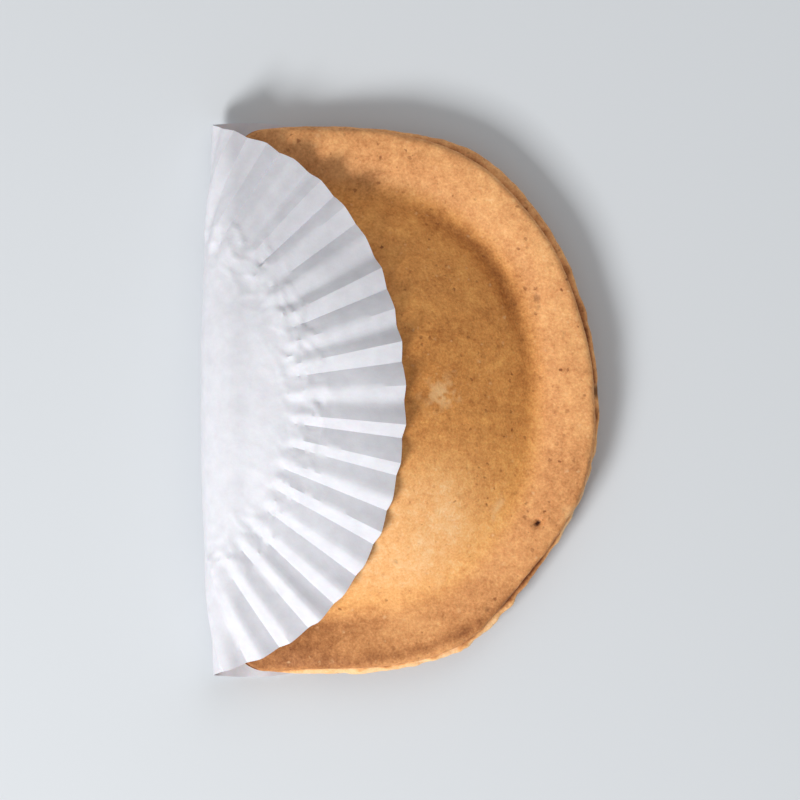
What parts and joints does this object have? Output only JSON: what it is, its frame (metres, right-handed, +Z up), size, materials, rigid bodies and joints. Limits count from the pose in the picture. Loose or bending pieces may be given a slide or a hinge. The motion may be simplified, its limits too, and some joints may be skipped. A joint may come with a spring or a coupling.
{
  "type": "empanada",
  "caption": "Baked half-moon empanada with a flat sealed rim, lying in a round fluted paper case folded in two around its straight side.",
  "frame": {"origin": "centre of the bounding box at the underside, on the surface that the paper case lies on", "axes": "+X from the folded side to the sealed round edge, +Y along the fold, +Z up out of the side that is shown"},
  "size_m": [0.0782, 0.1094, 0.024],
  "materials": {
    "baked_pastry": "matte baked dough, golden brown, darker on the belly and lighter on the rim",
    "greaseproof_paper": "thin matt white greaseproof paper, pressed into flutes"
  },
  "bodies": {
    "root": {"pastry": "baked_pastry", "paper_case": "greaseproof_paper"}
  },
  "joints": []
}
